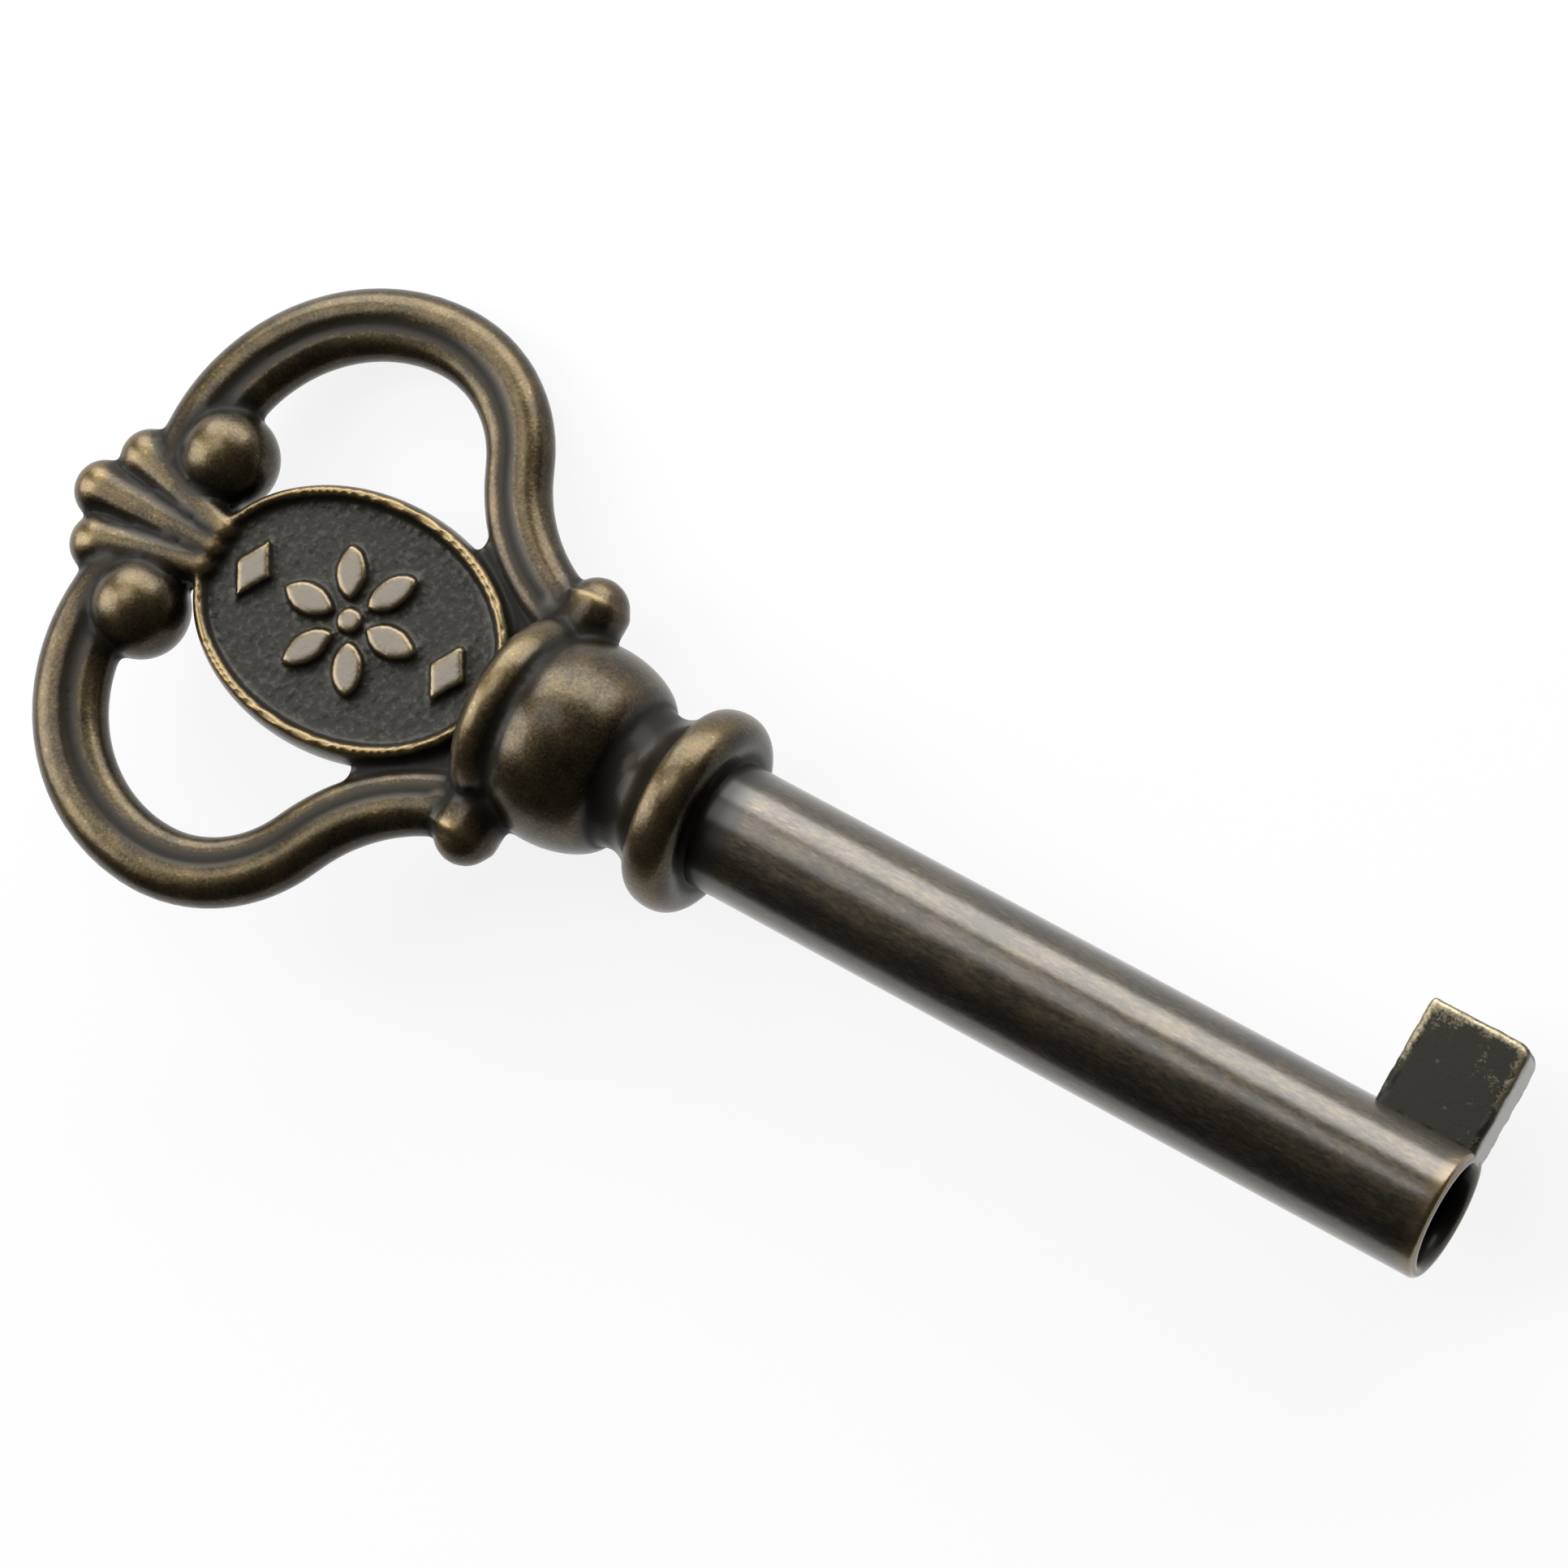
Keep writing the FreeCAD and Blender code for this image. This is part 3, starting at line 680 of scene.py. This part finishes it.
def makeBit():
    mesh = bmesh.new()
    size = (bit["length"], bit["height"] - bit["root"], bit["thickness"])
    middle = (shank["length"] - bit["length"] / 2, (bit["height"] + bit["root"]) / 2, 0)
    bmesh.ops.create_cube(mesh, size=1, matrix=Matrix.Translation(middle) @ Matrix.Diagonal((*size, 1)))
    corner = [edge for edge in mesh.edges if all(v.co.y > bit["height"] - 0.01 for v in edge.verts)
              and abs(edge.verts[0].co.z - edge.verts[1].co.z) > 0.01
              and edge.verts[0].co.x > shank["length"] - 0.01]
    bmesh.ops.bevel(mesh, geom=corner, offset=bit["cornerRound"], affect="EDGES", segments=5,
                    profile=0.5, material=-1)
    outer = [edge for edge in mesh.edges if max(v.co.y for v in edge.verts) > bit["root"] + 0.01]
    bmesh.ops.bevel(mesh, geom=outer, offset=bit["edgeRound"], affect="EDGES", segments=3,
                    profile=0.5, material=-1)
    piece = toObject(mesh, "bit")
    fuse(piece, bit["voxel"])
    finishSkin(piece, 2, wearBit, bit["edgeReach"])
    print("bit:", len(piece.data.polygons), "faces")
    return piece


def socketGroup(name, inputs, outputs):
    group = bpy.data.node_groups.new(name, "ShaderNodeTree")
    for label, kind, value in inputs:
        item = group.interface.new_socket(name=label, in_out="INPUT", socket_type=kind)
        if value is not None:
            item.default_value = value
    for label, kind in outputs:
        group.interface.new_socket(name=label, in_out="OUTPUT", socket_type=kind)
    return group


class Nodes:
    # short ways to add and join the nodes of one tree
    def __init__(self, tree):
        self.tree = tree

    def add(self, kind, **settings):
        node = self.tree.nodes.new(kind)
        for name, value in settings.items():
            setattr(node, name, value)
        return node

    def plug(self, node, name, value):
        socket = node.inputs[name]
        if isinstance(value, bpy.types.NodeSocket):
            self.tree.links.new(value, socket)
        else:
            socket.default_value = value

    def maths(self, operation, first, second=0.0, clamp=False):
        node = self.add("ShaderNodeMath", operation=operation, use_clamp=clamp)
        self.plug(node, 0, first)
        self.plug(node, 1, second)
        return node.outputs[0]

    def noise(self, vector, scale, detail, roughness=0.5):
        node = self.add("ShaderNodeTexNoise")
        self.plug(node, "Vector", vector)
        self.plug(node, "Scale", scale)
        self.plug(node, "Detail", detail)
        self.plug(node, "Roughness", roughness)
        return node.outputs["Fac"]

    def span(self, value, low, high, outLow=0.0, outHigh=1.0):
        node = self.add("ShaderNodeMapRange")
        for name, item in (("Value", value), ("From Min", low), ("From Max", high),
                           ("To Min", outLow), ("To Max", outHigh)):
            self.plug(node, name, item)
        return node.outputs["Result"]

    def mix(self, share, first, second):
        node = self.add("ShaderNodeMix", data_type="RGBA")
        self.plug(node, 0, share)
        self.plug(node, 6, first)
        self.plug(node, 7, second)
        return node.outputs[2]


def colour(code):
    # a colour written as six hexadecimal digits, made linear
    parts = [int(code[i:i + 2], 16) / 255 for i in (0, 2, 4)]
    linear = [p / 12.92 if p <= 0.04045 else ((p + 0.055) / 1.055) ** 2.4 for p in parts]
    return (*linear, 1.0)


def buildWearGroup():
    # how far the dark patina is rubbed away: along edges and on high places, never in the recesses
    group = socketGroup("rubbedPatina", [
        ("Vector", "NodeSocketVector", None),
        ("Edge", "NodeSocketFloat", 0.0),
        ("Hill", "NodeSocketFloat", 0.0),
        ("Hollow", "NodeSocketFloat", 0.0),
        ("Base", "NodeSocketFloat", 0.2),
        ("Patch Scale", "NodeSocketFloat", 900.0),
        ("Patch Depth", "NodeSocketFloat", 0.16),
    ], [("Wear", "NodeSocketFloat"), ("Speck", "NodeSocketFloat")])
    build = Nodes(group)
    given = build.add("NodeGroupInput").outputs
    put = build.add("NodeGroupOutput")
    patch = build.noise(given["Vector"], given["Patch Scale"], 5.0, 0.6)
    fine = build.noise(given["Vector"], 7000.0, 3.0, 0.6)
    lowest = build.maths("MULTIPLY", given["Patch Depth"], -1.0)
    patch = build.span(patch, 0.3, 0.7, lowest, given["Patch Depth"])
    fine = build.span(fine, 0.3, 0.7, lowest, given["Patch Depth"])
    total = build.maths("MULTIPLY", given["Edge"], 1.05)
    total = build.maths("ADD", total, build.maths("MULTIPLY", given["Hill"], 0.5))
    total = build.maths("ADD", total, given["Base"])
    total = build.maths("ADD", total, patch)
    total = build.maths("ADD", total, fine)
    total = build.maths("SUBTRACT", total, build.maths("MULTIPLY", given["Hollow"], 1.2), clamp=True)
    speck = build.noise(given["Vector"], 4200.0, 2.0, 0.5)
    speck = build.span(speck, 0.63, 0.72)
    build.plug(put, "Wear", total)
    build.plug(put, "Speck", speck)
    return group


def brassMaterial(name, wearGroup, values):
    material = bpy.data.materials.new(name)
    material.use_nodes = True
    build = Nodes(material.node_tree)
    material.node_tree.nodes.clear()
    spot = build.add("ShaderNodeTexCoord").outputs["Object"]
    stretch = build.add("ShaderNodeMapping")
    build.plug(stretch, "Vector", spot)
    build.plug(stretch, "Scale", values["stretch"])
    marks = {}
    for label in ("edge", "hill", "hollow", "flat", "ground"):
        marks[label] = build.add("ShaderNodeAttribute", attribute_name=label).outputs["Fac"]
    worn = build.add("ShaderNodeGroup", node_tree=wearGroup)
    build.plug(worn, "Vector", stretch.outputs["Vector"])
    build.plug(worn, "Edge", marks["edge"])
    build.plug(worn, "Hill", marks["hill"])
    # recess joins the marked recesses with the stippled ground; less wear, metal and coat there make it
    # render dark, partly as oxide and partly as painted shade
    recess = build.maths("MAXIMUM", marks["hollow"], marks["ground"])
    build.plug(worn, "Hollow", recess)
    build.plug(worn, "Base", values["base"])
    build.plug(worn, "Patch Scale", values["patch"])
    build.plug(worn, "Patch Depth", values["patchDepth"])
    wear = worn.outputs["Wear"]
    speck = build.maths("MULTIPLY", worn.outputs["Speck"], build.maths("MULTIPLY", wear, values["speck"]))
    tone = build.mix(wear, colour(values["patina"]), colour(values["brass"]))
    tone = build.mix(speck, tone, colour(values["gold"]))
    # painted reflection: flat tops and the bit's end face turn pale grey
    tone = build.mix(build.maths("MULTIPLY", marks["flat"], 0.8), tone, colour(values["flatSheenTone"]))
    # recesses and grooves take a near-black tone: partly oxide, partly painted shade
    tone = build.mix(build.maths("MULTIPLY", marks["hollow"], 0.9), tone, colour(values["oxideAndShadeTone"]))
    rough = build.span(wear, 0.0, 1.0, values["roughDark"], values["roughWorn"])
    rough = build.maths("ADD", rough, build.maths("MULTIPLY", recess, 0.25), clamp=True)
    tone = build.mix(marks["ground"], tone, colour(values["groundTone"]))
    grain = build.noise(spot, 5200.0, 4.0, 0.6)
    struck = build.noise(spot, 3400.0, 2.0, 0.5)
    light = build.maths("MULTIPLY", build.span(struck, 0.52, 0.66), marks["ground"])
    tone = build.mix(build.maths("MULTIPLY", light, values["stipple"]), tone, colour(values["stippleTone"]))
    pits = build.maths("MULTIPLY", struck, marks["ground"])
    grain = build.maths("ADD", grain, build.maths("MULTIPLY", pits, 4.0))
    bump = build.add("ShaderNodeBump")
    build.plug(bump, "Strength", values["bump"])
    build.plug(bump, "Distance", 0.00005)
    build.plug(bump, "Height", grain)
    shader = build.add("ShaderNodeBsdfPrincipled")
    build.plug(shader, "Base Color", tone)
    build.plug(shader, "Roughness", rough)
    build.plug(shader, "Metallic", build.span(recess, 0.0, 1.0, values["metallic"], 0.15))
    build.plug(shader, "Normal", bump.outputs["Normal"])
    build.plug(shader, "Coat Weight", build.span(recess, 0.0, 1.0, values["coat"], values["coat"] * 0.15))
    build.plug(shader, "Specular IOR Level", 0.15)
    build.plug(shader, "Coat Roughness", values["coatRough"])
    build.plug(shader, "Coat IOR", values["coatIor"])
    out = build.add("ShaderNodeOutputMaterial")
    build.plug(out, "Surface", shader.outputs["BSDF"])
    return material


# the pale grey of the flat tops is a painted reflection; the near-black of the recesses is oxide and painted
# shade
castFinish = {
    "stretch": (1.0, 1.0, 1.0),
    "base": -0.04,
    "patch": 700.0,
    "patchDepth": 0.16,
    "patina": "2b251a",
    "brass": "796745",
    "gold": "9f875a",
    "oxideAndShadeTone": "13110d",
    "groundTone": "282824",
    "flatSheenTone": "6f6a61",
    "speck": 0.7,
    "stipple": 0.55,
    "stippleTone": "4d4a3f",
    "roughDark": 0.34,
    "roughWorn": 0.34,
    "metallic": 0.9,
    "coat": 0.4,
    "coatRough": 0.22,
    "coatIor": 1.5,
    "bump": 0.35,
}

drawnFinish = dict(castFinish, stretch=(0.3, 1.0, 1.0), base=0.1, patch=1300.0, stipple=0.0,
                   brass="7a6848", roughDark=0.35, roughWorn=0.35, coat=1.0, coatRough=0.22,
                   coatIor=1.65, bump=0.2)

# the blade stays nearly black but for its knocked edges; its end face takes a pale grey painted reflection
bladeFinish = dict(castFinish, base=-0.34, patchDepth=0.4, patch=900.0, patina="24221b", brass="958b70",
                   flatSheenTone="b5b3af", coat=0.25, roughDark=0.5, stipple=0.0)


def dress(piece, material):
    piece.data.materials.clear()
    piece.data.materials.append(material)
    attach(piece, "root")
    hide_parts("key")


# each softbox: direction by the picture's right, up and backward shares, distance, size and watts
lights = {
    "boxes": {
        "backBox": ((0.0, 0.965, 0.23), 0.55, (0.9, 0.48), 7.6),
        "leftBox": ((-0.95, 0.25, 0.25), 0.5, (0.3, 0.4), 2.0),
        "topBox": ((-0.47, 0.56, 0.69), 0.6, (0.3, 0.3), 0.8),
    },
    "worldGrey": 0.06,
    "floorColour": (0.94, 0.94, 0.94, 1.0),
    "floorGlow": 0.86,
}


def makeStage():
    mesh = bmesh.new()
    bmesh.ops.create_grid(mesh, x_segments=1, y_segments=1, size=1.5)
    floor = toObject(mesh, "floor")
    material = bpy.data.materials.new("paleFloor")
    material.use_nodes = True
    build = Nodes(material.node_tree)
    material.node_tree.nodes.clear()
    matt = build.add("ShaderNodeBsdfDiffuse")
    build.plug(matt, "Color", lights["floorColour"])
    glow = build.add("ShaderNodeEmission")
    build.plug(glow, "Strength", 1.0)
    # seen by the camera and in the metal the floor is nearly white; it lights nothing
    path = build.add("ShaderNodeLightPath").outputs
    seen = build.maths("MAXIMUM", path["Is Camera Ray"], path["Is Glossy Ray"])
    seen = build.maths("MAXIMUM", seen, path["Is Transmission Ray"])
    share = build.add("ShaderNodeMixShader")
    build.plug(share, "Fac", build.maths("MULTIPLY", seen, lights["floorGlow"]))
    build.plug(share, 1, matt.outputs["BSDF"])
    build.plug(share, 2, glow.outputs["Emission"])
    out = build.add("ShaderNodeOutputMaterial")
    build.plug(out, "Surface", share.outputs["Shader"])
    floor.data.materials.append(material)


camera = {
    "target": (1.011, 2.9, 0.0),
    "leanX": 0.377,
    "leanY": -0.106,
    "turn": -0.491,
    "distance": 237.96,
    "lens": 122.7,
    "sensor": 36.0,
}


def cameraAxes():
    # the camera's right, up and backward directions, in the key's own frame
    back = Vector((camera["leanX"], camera["leanY"], 1)).normalized()
    across = Vector((1, 0, 0)) - back.x * back
    across.normalize()
    upright = back.cross(across)
    c, s = math.cos(camera["turn"]), math.sin(camera["turn"])
    return c * across - s * upright, s * across + c * upright, back


def makeCamera():
    right, up, back = cameraAxes()
    turn = Matrix((right, up, back)).transposed().to_4x4()
    spot = Vector(camera["target"]) + back * camera["distance"]
    data = bpy.data.cameras.new("camera")
    data.lens = camera["lens"]
    data.sensor_width = camera["sensor"]
    data.clip_start = 0.001
    viewer = bpy.data.objects.new("camera", data)
    bpy.context.scene.collection.objects.link(viewer)
    lifted = place() @ Matrix.Translation(spot) @ turn
    where, rotation, _ = lifted.decompose()
    viewer.matrix_world = Matrix.Translation(where) @ rotation.to_matrix().to_4x4()
    bpy.context.scene.camera = viewer


def addSoftbox(name, toward, distance, size, watts):
    # a soft lamp in a direction given by the camera's right, up and backward shares
    right, up, back = cameraAxes()
    line = (toward[0] * right + toward[1] * up + toward[2] * back).normalized()
    turned = (place().to_3x3() @ line).normalized()
    data = bpy.data.lights.new(name, "AREA")
    data.shape = "RECTANGLE"
    data.size, data.size_y = size
    data.energy = watts
    lamp = bpy.data.objects.new(name, data)
    bpy.context.scene.collection.objects.link(lamp)
    facing = turned.to_track_quat("Z", "Y").to_matrix().to_4x4()
    lamp.matrix_world = Matrix.Translation(turned * distance) @ facing


def makeLights():
    for name, (toward, distance, size, watts) in lights["boxes"].items():
        addSoftbox(name, toward, distance, size, watts)
    world = bpy.data.worlds.new("studio")
    world.use_nodes = True
    grey = lights["worldGrey"]
    world.node_tree.nodes["Background"].inputs["Color"].default_value = (grey, grey, grey, 1)
    bpy.context.scene.world = world
    bpy.context.scene.view_settings.view_transform = "Standard"


wearGroup = buildWearGroup()
cast = brassMaterial("castBrass", wearGroup, castFinish)
drawn = brassMaterial("drawnBrass", wearGroup, drawnFinish)
blade = brassMaterial("bladeBrass", wearGroup, bladeFinish)
dress(makeCasting(), cast)
dress(makeShank(), drawn)
dress(makeBit(), blade)
makeStage()
makeCamera()
makeLights()
print("studio ready")
